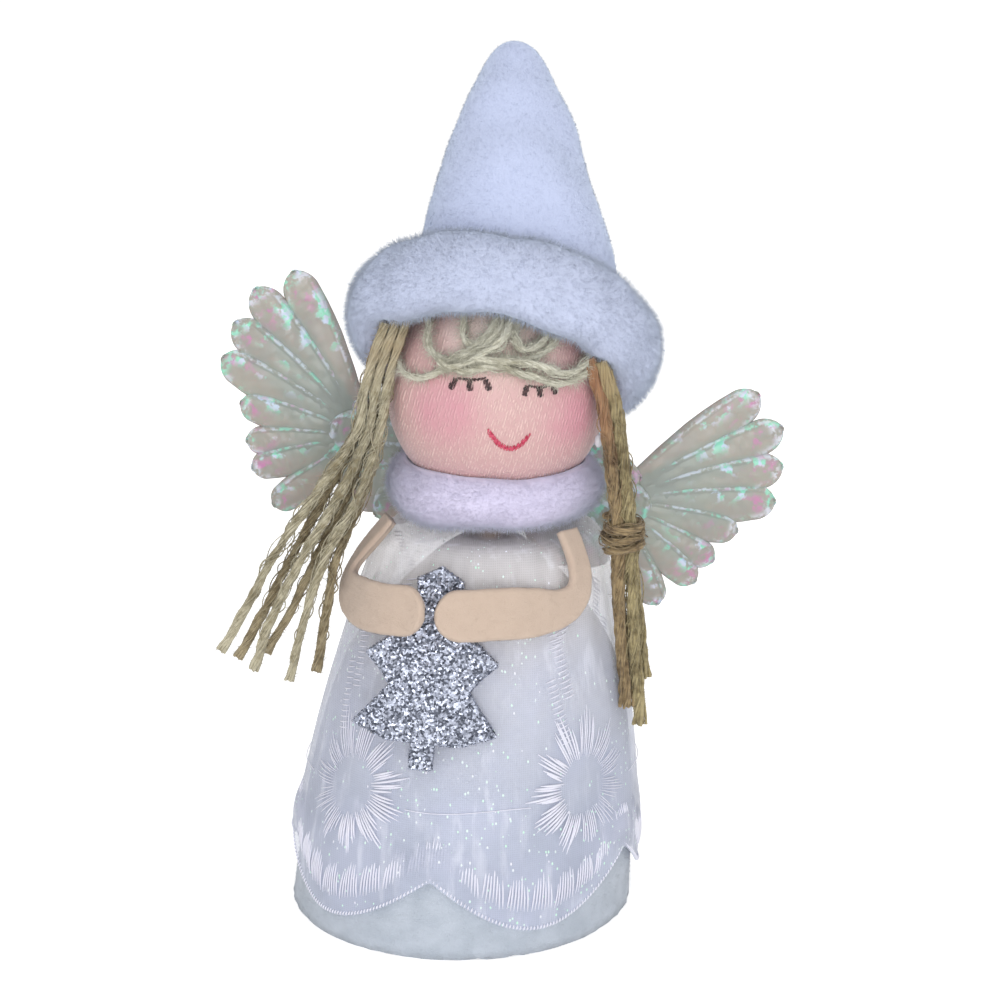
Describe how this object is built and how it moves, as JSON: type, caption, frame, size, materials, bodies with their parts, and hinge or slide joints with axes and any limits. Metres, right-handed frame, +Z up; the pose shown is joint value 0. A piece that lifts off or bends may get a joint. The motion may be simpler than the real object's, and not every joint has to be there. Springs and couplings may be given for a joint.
{
  "type": "angel figurine",
  "caption": "Handmade angel doll that stands on its felt skirt, with a satin face, plush hat, jute hair, felt arms round a glitter tree and folding film wings.",
  "frame": {"origin": "middle of the base disc's lower face, where the doll stands", "axes": "+Z up through the doll, -Y the way that the face looks, +X towards the doll's own left"},
  "size_m": [0.0951, 0.06, 0.1398],
  "materials": {
    "base_card": "matt",
    "foam": "matt foam",
    "white_felt": "matt felt",
    "organza": "sheer with a faint sparkle",
    "peg_wood": "bare",
    "thread": "matt cotton",
    "face_satin": "soft satin",
    "fur": "short fur",
    "arm_felt": "matt felt",
    "glitter_foam": "silver glitter",
    "plush": "short plush",
    "jute": "rough twine",
    "fringe_jute": "rough twine",
    "wing_film": "pearly iridescent film",
    "glue": "glossy"
  },
  "bodies": {
    "figure": {"base_disc": "base_card", "body_core": "foam", "skirt_underlayer": "white_felt", "organza_overskirt": "organza", "neck_peg": "peg_wood", "neck_thread": "thread", "head_ball": "foam", "face_cloth": "face_satin", "fur_collar": "fur", "right_arm": "arm_felt", "left_arm": "arm_felt", "glitter_tree": "glitter_foam", "hat_cone": "plush", "hat_brim": "fur", "hair_fringe": "fringe_jute", "right_pigtail_strand_1": "jute", "right_pigtail_strand_2": "jute", "right_pigtail_strand_3": "jute", "right_pigtail_strand_4": "jute", "right_pigtail_strand_5": "jute", "right_pigtail_strand_6": "jute", "left_pigtail_strand_1": "jute", "left_pigtail_strand_2": "jute", "left_pigtail_strand_3": "jute", "left_pigtail_strand_4": "jute", "left_pigtail_tie": "jute", "wing_bridge": "wing_film", "glue_drop": "glue"},
    "left_wing": {"left_wing": "wing_film"},
    "right_wing": {"right_wing": "wing_film"}
  },
  "joints": [
    {"name": "left_wing_fold", "type": "hinge", "parent": "figure", "child": "left_wing", "pos_m": [0.01112, 0.0189, 0.07103], "axis": [0.2588, 0, 0.9659], "range_deg": [0, 60], "stiffness_Nm_per_rad": 0.002},
    {"name": "right_wing_fold", "type": "hinge", "parent": "figure", "child": "right_wing", "pos_m": [0.00088, 0.0189, 0.07377], "axis": [-0.2588, 0, -0.9659], "range_deg": [0, 60], "stiffness_Nm_per_rad": 0.002}
  ]
}
